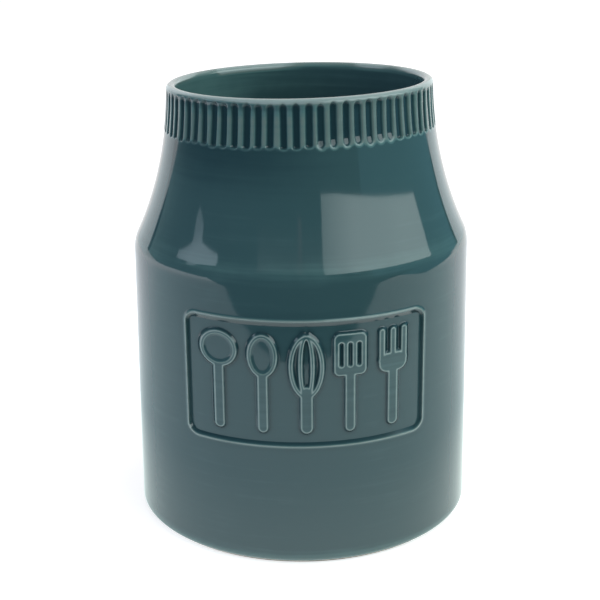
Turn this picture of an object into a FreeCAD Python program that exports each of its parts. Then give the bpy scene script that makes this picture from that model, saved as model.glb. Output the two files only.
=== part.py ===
"""Utensil crock: a glazed jar with a flared shoulder, a fluted collar and a framed relief panel.

Millimetres. The axis is +Z, the pot stands on z = 0 and the panel faces -Y.
"""
import FreeCAD
import Part

import math
import os

Vector = FreeCAD.Vector

# Outside form of the pot
height = 180.0
foot_radius = 69.7
body_taper = 1.3
shoulder_height = 118.5
shoulder_round = 17.0
neck_radius = 53.4
lip_height = 3.0

# Wall, floor and foot
wall = 4.0
lip_flat = 0.3
floor_thickness = 6.0
floor_cove = 6.0
foot_edge_round = 3.0
foot_height = 1.0
foot_ring_width = 8.0

# Sections that are lapped together: the base, the wall and the collar
lap_height = 4.0
base_rim_height = 5.0
collar_height = 19.6

# Flutes of the collar; the turn is the angle of one flute from the front
flute_count = 72
flute_width = 2.9
flute_depth = 1.1
flute_turn = -1.25
flute_bottom_margin = 0.5
flute_top_margin = 0.2

# Panel and its frame; the drop is measured from the shoulder to the panel's top
panel_drop = 17.7
panel_corner = 4.5
panel_sunk = 1.0
panel_thickness = 1.2
frame_width = 1.7
frame_proud = 0.35

# Row of motifs on the panel, and the room that each head has
relief_height = 1.1
motif_height = 39.2
motif_gap = 2.4
head_width = 14.2
side_margin = 3.5
end_margin = 3.9
handle_width = 3.8
bowl_sunk = 0.5
bowl_edge = 1.3

# Heads of the motifs
spoon_width = 11.4
spoon_length = 17.0
turner_width = 12.4
turner_length = 16.6
turner_corner = 2.2
slot_width = 1.6
slot_pitch = 3.4
slot_margin = 3.6
whisk_width = 13.4
whisk_inner_width = 6.2
whisk_length = 25.0
whisk_wire = 1.6
whisk_grip_width = 4.6
fork_width = 11.0
fork_length = 17.5
fork_root = 7.5
fork_corner = 3.4
tine_width = 2.3

# The wall draws in by the taper on its way up to the shoulder corner
shoulder_radius = foot_radius - body_taper
wall_slope = -body_taper / shoulder_height

# The flare is one arc, upright at the lip and ending on the shoulder corner, which is then rounded
flare_top = height - lip_height
flare_rise = flare_top - shoulder_height
flare_step = shoulder_radius - neck_radius
flare_radius = (flare_step ** 2 + flare_rise ** 2) / (2 * flare_step)
flare_centre = Vector(neck_radius + flare_radius, 0, flare_top)

# Heights of the floor and of the two lapped joints, which lie in the middle of the wall
floor_top = foot_height + floor_thickness
base_seat = floor_top + floor_cove + base_rim_height
collar_seat = height - collar_height
lap_depth = wall / 2

# The panel takes its size from the row of motifs that it frames
motif_names = ("relief_ladle", "relief_spoon", "relief_whisk", "relief_turner", "relief_fork")
motif_pitch = head_width + motif_gap
motif_row = len(motif_names) * motif_pitch - motif_gap
panel_width = motif_row + 2 * (side_margin + frame_width)
panel_height = motif_height + 2 * (end_margin + frame_width)
panel_bottom = shoulder_height - panel_drop - panel_height
motif_foot = panel_bottom + frame_width + end_margin
motif_top = motif_foot + motif_height

# Room that cutting tools reach past the pot
spare = 10.0
front_reach = foot_radius + spare

origin = Vector(0, 0, 0)
upright = Vector(0, 0, 1)
front_angle = -90.0


def wall_point(depth, z):
    """Point of the wall's outline at height z, set in by depth."""
    return Vector(foot_radius - depth * math.hypot(1, wall_slope) + wall_slope * z, 0, z)


def shoulder_meeting(depth):
    """Point where the flare would meet the wall, both set in by depth."""
    offset = wall_point(depth, 0).x - flare_centre.x
    a = 1 + wall_slope ** 2
    b = 2 * (wall_slope * offset - flare_centre.z)
    c = offset ** 2 + flare_centre.z ** 2 - (flare_radius + depth) ** 2
    return wall_point(depth, (-b - math.sqrt(b ** 2 - 4 * a * c)) / (2 * a))


def flare_point(reach, drop):
    """Point of an arc about the flare's centre, at a drop below its top."""
    return flare_centre - Vector(math.sqrt(reach ** 2 - drop ** 2), 0, drop)


def level_circles(shape, z):
    """Level edges of a turned solid at height z."""
    return [e for e in shape.Edges if e.BoundBox.ZLength < 0.01 and abs(e.BoundBox.ZMin - z) < 0.01]


def pot_form(depth):
    """Solid inside the pot's outer surface, set in by depth, from the ground to the lip."""
    centre = shoulder_meeting(shoulder_round)
    reach = shoulder_round - depth
    to_wall = Vector(1, 0, -wall_slope).normalize() * reach
    to_flare = (flare_centre - centre).normalize() * reach
    to_middle = (to_wall + to_flare).normalize() * reach
    foot = wall_point(depth, 0)
    wall_end = centre + to_wall
    flare_end = centre + to_flare
    middle = flare_point(flare_radius + depth, (flare_top - flare_end.z) / 2)
    throat = Vector(neck_radius - depth, 0, flare_top)
    lip = Vector(neck_radius - depth, 0, height)
    top = Vector(0, 0, height)
    edges = [
        Part.makeLine(origin, foot),
        Part.makeLine(foot, wall_end),
        Part.Arc(wall_end, centre + to_middle, flare_end).toShape(),
        Part.Arc(flare_end, middle, throat).toShape(),
        Part.makeLine(throat, lip),
        Part.makeLine(lip, top),
        Part.makeLine(top, origin),
    ]
    return Part.Face(Part.Wire(edges)).revolve(origin, upright, 360)


def skin(outer_depth, inner_depth):
    """Layer of the pot between two depths below its outer surface."""
    return pot_form(outer_depth).cut(pot_form(inner_depth))


def level_slab(low, high):
    """Disc wider than the pot, between two heights."""
    return Part.makeCylinder(foot_radius + spare, high - low, Vector(0, 0, low))


def cavity():
    """Space inside the pot, with its coved bottom corner."""
    space = pot_form(wall).common(level_slab(floor_top, height))
    return space.makeFillet(floor_cove, level_circles(space, floor_top))


def shell():
    """The whole pot above its foot ring, before it is divided."""
    body = pot_form(0).common(level_slab(foot_height, height))
    body = body.makeFillet(foot_edge_round, level_circles(body, foot_height))
    pot = body.cut(cavity())
    return pot.makeFillet((wall - lip_flat) / 2, level_circles(pot, height))


def lap(seat):
    """Space of the spigot that stands on a section's seat, inside the next section."""
    return pot_form(lap_depth).common(level_slab(seat, seat + lap_height))


def make_foot_ring():
    outer = foot_radius - foot_edge_round
    ring = Part.makeCylinder(outer, foot_height)
    return ring.cut(Part.makeCylinder(outer - foot_ring_width, foot_height))


def make_crock_base(pot):
    return pot.common(level_slab(0, base_seat).fuse(lap(base_seat)))


def make_crock_wall(pot):
    section = pot.common(level_slab(base_seat, collar_seat).fuse(lap(collar_seat)))
    pocket = panel_bar(0).common(skin(0, panel_sunk + panel_thickness))
    return section.cut(lap(base_seat)).cut(pocket)


def flute_cutter():
    """Round-ended groove that follows the flare, on the +X side of the axis."""
    radius = (flute_width ** 2 / 4 + flute_depth ** 2) / (2 * flute_depth)
    reach = flare_radius - radius + flute_depth
    end_inset = flute_width / 2
    top = flare_point(reach, flute_top_margin + end_inset)
    bottom = flare_point(reach, flare_top - collar_seat - flute_bottom_margin - end_inset)
    swing = math.degrees((top - flare_centre).getAngle(bottom - flare_centre))
    along = Vector(0, 1, 0).cross(top - flare_centre)
    groove = Part.Face(Part.Wire(Part.makeCircle(radius, top, along)))
    groove = groove.revolve(flare_centre, Vector(0, -1, 0), swing)
    return groove.fuse([Part.makeSphere(radius, top), Part.makeSphere(radius, bottom)])


def make_fluted_collar(pot):
    collar = pot.common(level_slab(collar_seat, height)).cut(lap(collar_seat))
    pitch = 360 / flute_count
    flute = flute_cutter()
    flutes = []
    for number in range(flute_count):
        flutes.append(flute.rotated(origin, upright, (number + 0.5) * pitch))
    to_front = front_angle - 0.5 * pitch
    return collar.cut(flutes).rotated(origin, upright, to_front + flute_turn)


def front_bar(outline):
    """Bar with an outline in the XZ plane, running from the axis out past the front."""
    return Part.Face(Part.Wire(outline)).extrude(Vector(0, -front_reach, 0))


def rounded_bar(x, low, width, tall, corner):
    """Bar with a rounded rectangle outline, centred on x and standing on low."""
    box = Part.makeBox(width, front_reach, tall, Vector(x - width / 2, -front_reach, low))
    return box.makeFillet(corner, [e for e in box.Edges if e.BoundBox.YLength > spare])


def stadium_bar(x, low, high, width):
    """Upright bar with half-round ends."""
    r = width / 2
    left_low = Vector(x - r, 0, low + r)
    left_high = Vector(x - r, 0, high - r)
    right_low = Vector(x + r, 0, low + r)
    right_high = Vector(x + r, 0, high - r)
    return front_bar([
        Part.makeLine(left_low, left_high),
        Part.Arc(left_high, Vector(x, 0, high), right_high).toShape(),
        Part.makeLine(right_high, right_low),
        Part.Arc(right_low, Vector(x, 0, low), left_low).toShape(),
    ])


def oval_bar(x, z, width, tall):
    """Bar with an oval outline, upright, level or round."""
    centre = Vector(x, 0, z)
    side = centre + Vector(width / 2, 0, 0)
    crown = centre + Vector(0, 0, tall / 2)
    if tall > width:
        return front_bar(Part.Ellipse(crown, side, centre).toShape())
    if width > tall:
        return front_bar(Part.Ellipse(side, crown, centre).toShape())
    return front_bar(Part.makeCircle(width / 2, centre, Vector(0, 1, 0)))


def panel_bar(inset):
    """Bar of the panel's outline, drawn in by inset."""
    width = panel_width - 2 * inset
    tall = panel_height - 2 * inset
    return rounded_bar(0, panel_bottom + inset, width, tall, panel_corner - inset)


def make_label_panel():
    return panel_bar(0).common(skin(panel_sunk, panel_sunk + panel_thickness))


def make_panel_frame():
    return panel_bar(0).cut(panel_bar(frame_width)).common(skin(-frame_proud, panel_sunk))


def dished(relief, bar):
    """Relief with a shallow bowl of the bar's outline sunk into its top."""
    bowl_floor = panel_sunk - relief_height + bowl_sunk
    return relief.cut(bar.cut(pot_form(bowl_floor)))


def handle(x, top):
    """Handle of a motif, from the row's foot up into its head."""
    return stadium_bar(x, motif_foot, top, handle_width)


def make_relief_ladle(x, layer):
    middle = motif_top - head_width / 2
    inner = head_width - 2 * bowl_edge
    tool = handle(x, middle).fuse(oval_bar(x, middle, head_width, head_width))
    return dished(tool.common(layer), oval_bar(x, middle, inner, inner))


def make_relief_spoon(x, layer):
    middle = motif_top - spoon_length / 2
    inner = oval_bar(x, middle, spoon_width - 2 * bowl_edge, spoon_length - 2 * bowl_edge)
    tool = handle(x, middle).fuse(oval_bar(x, middle, spoon_width, spoon_length))
    return dished(tool.common(layer), inner)


def make_relief_whisk(x, layer):
    low = motif_top - whisk_length
    middle = motif_top - whisk_length / 2
    tool = stadium_bar(x, motif_foot, low + whisk_grip_width, whisk_grip_width)
    for width in (whisk_width, whisk_inner_width):
        inner = oval_bar(x, middle, width - 2 * whisk_wire, whisk_length - 2 * whisk_wire)
        tool = tool.fuse(oval_bar(x, middle, width, whisk_length).cut(inner))
    return tool.common(layer)


def make_relief_turner(x, layer):
    low = motif_top - turner_length
    slot_low = low + slot_margin
    slot_high = motif_top - slot_margin
    tool = handle(x, slot_low).fuse(rounded_bar(x, low, turner_width, turner_length, turner_corner))
    for side in (-1, 0, 1):
        tool = tool.cut(stadium_bar(x + side * slot_pitch, slot_low, slot_high, slot_width))
    return tool.common(layer)


def make_relief_fork(x, layer):
    low = motif_top - fork_length
    root_middle = low + fork_root / 2
    tine_pitch = (fork_width - tine_width) / 2
    tool = handle(x, root_middle).fuse(rounded_bar(x, low, fork_width, fork_root, fork_corner))
    for side in (-1, 0, 1):
        tool = tool.fuse(stadium_bar(x + side * tine_pitch, root_middle, motif_top, tine_width))
    return tool.common(layer)


def make_parts():
    """Every node of the pot by name."""
    pot = shell()
    parts = {
        "foot_ring": make_foot_ring(),
        "crock_base": make_crock_base(pot),
        "crock_wall": make_crock_wall(pot),
        "fluted_collar": make_fluted_collar(pot),
        "label_panel": make_label_panel(),
        "panel_frame": make_panel_frame(),
    }
    makers = (make_relief_ladle, make_relief_spoon, make_relief_whisk, make_relief_turner, make_relief_fork)
    layer = skin(panel_sunk - relief_height, panel_sunk)
    first = (head_width - motif_row) / 2
    for place, maker in enumerate(makers):
        parts[motif_names[place]] = maker(first + place * motif_pitch, layer)
    return parts


os.makedirs("parts", exist_ok=True)
for name, shape in make_parts().items():
    solid = shape.removeSplitter()
    solid.exportStep("parts/" + name + ".step")
    state = "valid" if solid.isValid() else "not valid"
    print(name, len(solid.Solids), "solid,", round(solid.Volume), "mm3,", state)
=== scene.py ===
import math

import bpy
import numpy as np
from mathutils import Matrix, Vector


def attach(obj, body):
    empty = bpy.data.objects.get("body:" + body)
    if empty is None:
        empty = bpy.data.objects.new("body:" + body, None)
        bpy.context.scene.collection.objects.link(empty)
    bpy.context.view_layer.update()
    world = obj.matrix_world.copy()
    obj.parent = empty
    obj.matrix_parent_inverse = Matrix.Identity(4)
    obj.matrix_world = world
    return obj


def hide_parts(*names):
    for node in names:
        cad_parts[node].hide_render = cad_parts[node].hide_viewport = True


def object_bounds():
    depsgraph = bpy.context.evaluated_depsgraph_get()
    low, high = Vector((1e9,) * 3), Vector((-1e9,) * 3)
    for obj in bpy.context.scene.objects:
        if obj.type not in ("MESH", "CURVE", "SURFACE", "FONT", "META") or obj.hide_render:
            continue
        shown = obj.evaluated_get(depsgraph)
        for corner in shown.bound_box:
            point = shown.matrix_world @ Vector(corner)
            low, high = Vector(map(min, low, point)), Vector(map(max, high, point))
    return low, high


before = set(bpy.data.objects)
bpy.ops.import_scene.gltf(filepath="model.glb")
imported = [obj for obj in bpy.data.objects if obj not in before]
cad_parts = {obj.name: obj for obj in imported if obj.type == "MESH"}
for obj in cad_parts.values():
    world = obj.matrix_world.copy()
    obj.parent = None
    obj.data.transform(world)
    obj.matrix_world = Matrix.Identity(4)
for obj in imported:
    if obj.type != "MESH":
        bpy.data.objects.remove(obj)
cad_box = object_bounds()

bl_info = {
    "name": "Utensil Crock",
    "version": (1, 0, 0),
    "blender": (4, 5, 0),
    "location": "View3D > Sidebar > Crock",
    "description": "Builds a glazed utensil crock with a fluted collar and a relief panel",
    "category": "Add Mesh",
}

MM = 0.001
FRONT = math.radians(-90.0)
BODY = "root"
# Attribute with the glaze thickness, which also carries painted light and shade.
POOL_AND_LIGHT = "glaze_pool"
COLUMNS = 360
CAD_HEIGHT = (cad_box[1][2] - cad_box[0][2]) / MM


def length(name, millimetres, description):
    """A size, written in millimetres and kept in metres."""
    return bpy.props.FloatProperty(
        name=name, description=description, default=millimetres * MM, min=0.0, precision=5, unit="LENGTH"
    )


def angle(name, degrees, description):
    """An angle, written in degrees and kept in radians."""
    return bpy.props.FloatProperty(
        name=name, description=description, default=math.radians(degrees), subtype="ANGLE"
    )


def share(name, value, description):
    """A plain number from zero up."""
    return bpy.props.FloatProperty(name=name, description=description, default=value, min=0.0, precision=3)


def colour(name, value, description):
    """A linear colour."""
    return bpy.props.FloatVectorProperty(
        name=name, description=description, default=value, size=3, min=0.0, max=1.0, subtype="COLOR"
    )


def light(name, value, description):
    """Brightness of a lamp or a card, in linear colour."""
    return bpy.props.FloatVectorProperty(
        name=name, description=description, default=value, size=3, min=0.0, soft_max=4.0, subtype="COLOR"
    )


class PotSizes(bpy.types.PropertyGroup):
    """Sizes of the turned pot."""

    height: length("Height", CAD_HEIGHT, "From the ground to the top of the lip")
    foot_radius: length("Foot radius", 70.1, "Radius of the wall at the ground")
    body_taper: length("Body taper", 1.3, "How far the wall draws in on its way to the shoulder")
    shoulder_height: length("Shoulder height", 117.3, "Height of the corner between wall and flare")
    shoulder_round: length("Shoulder rounding", 15.0, "Radius of the rounded shoulder edge")
    neck_radius: length("Neck radius", 53.5, "Outside radius at the lip")
    neck_slope: angle("Neck slope", 2.0, "Angle from upright at which the flare leaves the neck")
    lip_height: length("Lip height", 3.0, "Upright part above the flare")
    lip_flat: length("Lip flat", 0.3, "Flat that is left between the two roundings of the lip")
    wall: length("Wall", 4.0, "Thickness of the wall")
    floor_thickness: length("Floor thickness", 6.0, "Thickness of the bottom")
    floor_cove: length("Floor cove", 6.0, "Inside radius between bottom and wall")
    foot_edge_round: length("Foot edge", 3.0, "Radius of the outside bottom edge")
    foot_height: length("Foot height", 1.0, "How far the dry foot ring lifts the bottom")
    foot_ring_width: length("Foot ring width", 8.0, "Width of the dry foot ring")
    lap_height: length("Lap height", 4.0, "Height of the lapped joints between sections")
    base_rim_height: length("Base rim", 5.0, "Upright rim of the base above its cove")
    collar_height: length("Collar height", 19.6, "From the collar's lower edge to the lip")
    rim_lean: angle("Rim lean", 0.92, "How far the neck sank to one side in the kiln")
    shoulder_lean: share("Shoulder lean", 0.7, "Share of the lean that starts at the shoulder")
    neck_tip: angle("Neck tip", 0.3, "How far the neck tips back")
    neck_lift: length("Neck lift", 0.22, "How far the neck stands up above its even height")


class FluteSizes(bpy.types.PropertyGroup):
    """Sizes of the upright flutes round the collar."""

    count: bpy.props.IntProperty(name="Count", description="Flutes round the collar", default=72, min=8)
    width: length("Width", 3.5, "Width of one flute between its edges")
    depth: length("Depth", 1.1, "Depth of one flute")
    turn: angle("Turn", -1.6, "Angle of one flute from the front")
    bottom_margin: length("Bottom margin", 1.3, "From the collar's lower edge to the flutes")
    top_margin: length("Top margin", 1.3, "From the flutes' upper ends to the top of the lip")
    unevenness: share("Unevenness", 1.0, "How much the hand-cut flutes differ from each other")


class PanelSizes(bpy.types.PropertyGroup):
    """Sizes of the sunk panel, its frame and the row of tools on it."""

    width: length("Width", 91.9, "Outside width of the frame")
    height: length("Height", 50.6, "Outside height of the frame")
    bottom: length("Bottom", 50.4, "Height of the frame's lower edge above the ground")
    turn: angle("Turn", 1.3, "Angle of the panel's middle from the front")
    corner: length("Corner", 4.5, "Radius of the frame's corners")
    sunk: length("Sunk", 1.0, "Depth of the panel below the wall")
    thickness: length("Thickness", 1.2, "Thickness of the panel")
    frame_width: length("Frame width", 1.45, "From the panel's outline to the inner foot of the frame")
    frame_feather: length("Frame feather", 1.1, "Width of the frame's gentle slope outside the outline")
    frame_crest: length("Frame crest", 0.2, "From the panel's outline in to the frame's crest")
    frame_ease: share("Frame ease", 1.25, "How much wider the frame's inner slope is along the top")
    frame_proud: length("Frame proud", 0.4, "How far the crest stands out of the wall")
    relief_height: length("Relief", 1.1, "Height of the tools above the panel")
    row_pitch: length("Row pitch", 16.6, "From one tool to the next")
    row_foot: length("Row foot", 56.0, "Height of the handles' lower ends above the ground")
    row_top: length("Row top", 95.2, "Height of the tools' upper ends above the ground")
    handle_width: length("Handle", 3.8, "Width of the handles")
    bowl_edge: length("Bowl edge", 1.3, "Width of the edge round a hollow bowl")
    bowl_sunk: length("Bowl depth", 0.5, "Depth of a hollow bowl")


class GlazeFinish(bpy.types.PropertyGroup):
    """Colours of the glaze and of the dry clay, and how the glaze ran."""

    # These colours also show the painted light and shade that is put into the glaze thickness.
    bare: colour("Broken glaze", (0.225, 0.300, 0.298), "Where the glaze breaks over a sharp edge")
    thin: colour("Thin glaze", (0.110, 0.172, 0.165), "Where the glaze is thin")
    washed: colour("Washed glaze", (0.074, 0.157, 0.158), "Where the glaze is a little thin")
    plain: colour("Plain glaze", (0.032, 0.077, 0.086), "On the open wall")
    pooled: colour("Pooled glaze", (0.012, 0.037, 0.046), "Where the glaze gathers in hollows")
    biscuit: colour("Dry clay", (0.72, 0.65, 0.55), "The unglazed foot")
    roughness: share("Glaze roughness", 0.06, "Roughness of the glaze")
    ripple: length("Ripple", 0.03, "Height of the slow waves in the glaze")
    # The darkening below the collar is glaze gathered there together with painted shade, strongest on the
    # left.
    run_down_and_shade: share("Run down", 0.62, "How thick the glaze lies below the collar")
    foot_thin: share("Thin foot", 0.55, "How thin the glaze is along the foot")
    shoulder_thin: share("Thin shoulder", 0.15, "How thin the glaze is over the shoulder")
    rib_thin: share("Thin ribs", 0.76, "How thin the glaze is on the ribs between the flutes")
    rim_thin: share("Thin rims", 0.45, "How thin the glaze is round the flutes' ends")
    hollow: share("Hollows", 0.95, "How thick the glaze lies in the flutes")


class StudioLevels(bpy.types.PropertyGroup):
    """Brightness of the studio round the pot."""

    softbox: light("Softbox", (2.78, 3.2, 3.17), "The softbox on the right")
    side_lamp: light("Side lamp", (1.7, 2.05, 2.3), "The small lamp on the left")
    overhead: light("Overhead", (2.15, 2.05, 1.95), "The diffuser above, not mirrored")
    left_fill: light("Left fill", (1.55, 1.58, 1.86), "The soft light from the left, not mirrored")
    fill: light("Fill", (0.03, 0.03, 0.03), "The light from all round")
    floor_seen: light("Floor seen", (0.7, 0.7, 0.7), "Glow that lifts the floor to white in the picture")
    floor_mirrored: light("Floor mirrored", (0.4, 0.56, 0.58), "Glow of the floor in the glaze")
    floor_rear: light("Floor behind", (0.64, 0.68, 0.72), "Glow of the floor behind the pot in the glaze")
    floor_near: light("Floor at the foot", (0.85, 1, 0.96), "Glow of the floor next to the foot in the glaze")
    floor_bounce: light("Floor bounce", (0.06, 0.06, 0.06), "Glow of the floor on the pot")
    rear_left: light("Rear left", (1.22, 1.31, 1.34), "The lit sheet behind on the left, in the glaze")
    rear_right: light("Rear right", (1.37, 1.46, 1.48), "The lit sheet behind on the right, in the glaze")
    stand: light("Stand", (0.3, 0.2, 0.2), "The lamp stand in front, in the glaze")
    room_front: light("Front room", (0.25, 0.27, 0.27), "The dark room in front, in the glaze")
    room_left: light("Left room", (0.28, 0.43, 0.43), "The dark room on the left, in the glaze")
    room_right: light("Right room", (0.135, 0.33, 0.42), "The dark room on the right, in the glaze")
    room_top: light("Ceiling", (0.05, 0.05, 0.05), "The dark ceiling, in the glaze")


SETTINGS = {
    "crock_pot": PotSizes,
    "crock_flutes": FluteSizes,
    "crock_panel": PanelSizes,
    "crock_finish": GlazeFinish,
    "crock_studio": StudioLevels,
}


def smooth(low, high, value):
    """Rises smoothly from 0 at low to 1 at high."""
    t = np.clip((value - low) / (high - low), 0.0, 1.0)
    return t * t * (3.0 - 2.0 * t)


def ridge(middle, half_width, value):
    """A smooth bump of height 1 round middle."""
    return smooth(half_width, 0.0, np.abs(value - middle))


def stretch(start, full, fading, end, value):
    """1 along a stretch, rising from start to full and falling from fading to end."""
    return smooth(start, full, value) * smooth(end, fading, value)


def bearing(turn):
    """Degrees from the front, negative on the left, of a turn in radians from the front."""
    return np.degrees((turn + math.pi) % (2.0 * math.pi) - math.pi)


def base_seat(pot):
    """Height at which the wall rests on the base."""
    return pot.foot_height + pot.floor_thickness + pot.floor_cove + pot.base_rim_height


def collar_seat(pot):
    """Height at which the collar rests on the wall."""
    return pot.height - pot.collar_height


class PotOutline:
    """Turned outline of the pot: a cone wall, a rounded shoulder and a flare that is one arc."""

    def __init__(self, pot):
        self.foot = pot.foot_radius
        self.slope = -pot.body_taper / pot.shoulder_height
        self.rounding = pot.shoulder_round
        self.flare_top = pot.height - pot.lip_height
        step = pot.foot_radius - pot.body_taper - pot.neck_radius
        rise = self.flare_top - pot.shoulder_height
        c, s = math.cos(pot.neck_slope), math.sin(pot.neck_slope)
        self.flare_radius = (step ** 2 + rise ** 2) / (2.0 * (step * c - rise * s))
        self.flare_centre = pot.neck_radius + self.flare_radius * c
        self.flare_level = self.flare_top + self.flare_radius * s
        self.round_radius, self.round_height = self.meeting(self.rounding)

    def wall_radius(self, z, depth):
        """Radius of the cone wall at height z, set in by depth."""
        return self.foot - depth * math.hypot(1.0, self.slope) + self.slope * z

    def meeting(self, depth):
        """Radius and height where wall and flare would meet, both set in by depth."""
        offset = self.wall_radius(0.0, depth) - self.flare_centre
        a = 1.0 + self.slope ** 2
        b = 2.0 * (self.slope * offset - self.flare_level)
        c = offset ** 2 + self.flare_level ** 2 - (self.flare_radius + depth) ** 2
        z = (-b - math.sqrt(b * b - 4.0 * a * c)) / (2.0 * a)
        return self.wall_radius(z, depth), z

    def radius(self, z, depth=0.0):
        """Radius of the surface that lies depth below the outside, at height z."""
        ball = self.rounding - depth
        reach = self.flare_radius + depth
        drop = np.clip(self.flare_level - np.minimum(z, self.flare_top), 0.0, reach)
        flare = self.flare_centre - np.sqrt(reach ** 2 - drop ** 2)
        rise = z - self.round_height
        edge = self.round_radius + np.sqrt(np.clip(ball ** 2 - rise ** 2, 0.0, None))
        away = np.array([self.flare_centre - self.round_radius, self.flare_level - self.round_height])
        wall_end = -self.slope * ball / math.hypot(1.0, self.slope)
        flare_end = ball * away[1] / np.hypot(*away)
        shoulder = np.where(rise < flare_end, edge, flare)
        return np.where(rise < wall_end, self.wall_radius(z, depth), shoulder)

    def run(self, low, high, step, depth=0.0):
        """Points (radius, height) along a surface from one height to another."""
        count = max(2, int(round(abs(high - low) / step)) + 1)
        z = np.linspace(low, high, count)
        return np.column_stack([self.radius(z, depth), z])


def arc(centre, radius, start, end, count):
    """Points (radius, height) on an arc between two angles in degrees, without the first."""
    turn = np.radians(np.linspace(start, end, count + 1)[1:])
    return np.column_stack([centre[0] + radius * np.cos(turn), centre[1] + radius * np.sin(turn)])


def disc(radius, height, count):
    """Points (radius, height) from close to the middle out to a radius."""
    hub = 0.02
    return np.column_stack([np.linspace(hub, 1.0, count) * radius, np.full(count, height)])


class TurnedMesh:
    """A mesh turned from a section of (radius, height) points, with one column per angle."""

    def __init__(self, section, angles, closed):
        self.section = np.asarray(section)
        self.angles = np.asarray(angles)
        self.closed = closed
        self.radius = np.repeat(self.section[:, :1], len(angles), axis=1)
        self.height = np.repeat(self.section[:, 1:], len(angles), axis=1)

    def points(self):
        """Places of all points; an open section gets a middle point at each end."""
        x = self.radius * np.cos(self.angles)
        y = self.radius * np.sin(self.angles)
        points = np.stack([x, y, self.height], axis=-1).reshape(-1, 3)
        if self.closed:
            return points
        first, last = self.section[0, 1], self.section[-1, 1]
        return np.vstack([points, [[0.0, 0.0, first], [0.0, 0.0, last]]])

    def faces(self):
        """Quads between the rows, with fans to the middle points of an open section."""
        rows, columns = self.radius.shape
        grid = np.arange(rows * columns).reshape(rows, columns)
        here = grid if self.closed else grid[:-1]
        above = np.roll(grid, -1, axis=0) if self.closed else grid[1:]
        quads = np.stack([here, np.roll(here, -1, axis=1), np.roll(above, -1, axis=1), above], axis=-1)
        faces = quads.reshape(-1, 4).tolist()
        if not self.closed:
            bottom, top = rows * columns, rows * columns + 1
            for a, b in zip(grid[0], np.roll(grid[0], -1)):
                faces.append([int(b), int(a), bottom])
            for a, b in zip(grid[-1], np.roll(grid[-1], -1)):
                faces.append([int(a), int(b), top])
        return faces


def cut_sheet(field, width, low, high, middle, step):
    """Flat net that fills the part of the front where field(x, z) is positive, cut along its edge."""
    across = np.linspace(middle - width / 2, middle + width / 2, int(width / step) + 2)
    up = np.linspace(low, high, int((high - low) / step) + 2)
    grid_x, grid_z = np.meshgrid(across, up, indexing="ij")
    value = field(grid_x, grid_z)
    inside = value > 0
    points, number = [], {}

    def at(key, x, z):
        if key not in number:
            number[key] = len(points)
            points.append((x, z))
        return number[key]

    faces = []
    touched = inside[:-1, :-1] | inside[1:, :-1] | inside[1:, 1:] | inside[:-1, 1:]
    for i, j in np.argwhere(touched).tolist():
        corners = [(i, j), (i + 1, j), (i + 1, j + 1), (i, j + 1)]
        face = []
        for a, b in zip(corners, corners[1:] + corners[:1]):
            if inside[a]:
                face.append(at(a, across[a[0]], up[a[1]]))
            if inside[a] != inside[b]:
                part = value[a] / (value[a] - value[b])
                x = across[a[0]] + part * (across[b[0]] - across[a[0]])
                z = up[a[1]] + part * (up[b[1]] - up[a[1]])
                face.append(at((min(a, b), max(a, b)), x, z))
        faces.append(face)
    return np.array(points), faces


def on_front(outline, panel, x, z, depth):
    """Points at a depth below the pot's surface, x across and z up on the panel's side."""
    radius = outline.radius(z, np.broadcast_to(depth, z.shape))
    y = -np.sqrt(radius ** 2 - x ** 2)
    c, s = math.cos(panel.turn), math.sin(panel.turn)
    return np.column_stack([c * x - s * y, s * x + c * y, z])


def thicken(outline, panel, flat, faces, outer, inner):
    """Closed solid over a flat net, between two depths below the pot's surface."""
    x, z = flat[:, 0], flat[:, 1]
    count = len(flat)
    layers = [on_front(outline, panel, x, z, depth) for depth in (outer, inner)]
    edges = {(a, b) for face in faces for a, b in zip(face, face[1:] + face[:1])}
    solid = faces + [[n + count for n in reversed(face)] for face in faces]
    for a, b in sorted(edges):
        if (b, a) not in edges:
            solid.append([b, a, a + count, b + count])
    return np.vstack(layers), solid


def leaned(points, pot):
    """Points after the neck has sunk a little to one side and tipped back."""
    moved = np.array(points)
    shoulder_low, shoulder_high = 102.0 * MM, 114.0 * MM
    flare_low, flare_high = 108.0 * MM, 158.0 * MM
    tip_low, tip_high = 125.0 * MM, 160.0 * MM
    start = pot.shoulder_lean * smooth(shoulder_low, shoulder_high, moved[:, 2])
    rest = (1.0 - pot.shoulder_lean) * smooth(flare_low, flare_high, moved[:, 2])
    tipped = smooth(tip_low, tip_high, moved[:, 2])
    moved[:, 2] += moved[:, 0] * math.tan(pot.rim_lean) * (start + rest)
    moved[:, 2] += (pot.neck_lift - moved[:, 1] * math.tan(pot.neck_tip)) * tipped
    return moved


def new_object(name, points, faces):
    """A mesh object in the scene."""
    mesh = bpy.data.meshes.new(name)
    mesh.from_pydata(np.asarray(points).tolist(), [], faces)
    mesh.validate()
    item = bpy.data.objects.new(name, mesh)
    bpy.context.scene.collection.objects.link(item)
    return item


def finish_piece(item, node, pool, slot, sharp=50.0):
    """Gives a piece its shading, glaze thickness with any painted light and shade, finish and place in the
    frame.
    """
    mesh = item.data
    if len(mesh.polygons) == 0:
        raise RuntimeError(f"{item.name} has no faces")
    mesh.polygons.foreach_set("use_smooth", np.ones(len(mesh.polygons), bool))
    mesh.set_sharp_from_angle(angle=math.radians(sharp))
    mesh.attributes.new(POOL_AND_LIGHT, "FLOAT", "POINT").data.foreach_set("value", np.asarray(pool, np.float32))
    mesh.materials.clear()
    mesh.materials.append(finish_material(slot))
    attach(item, BODY)
    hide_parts(node)
    return item


def node_colour(value):
    """A colour with full cover, as sockets take it."""
    return (*value, 1.0)


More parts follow.
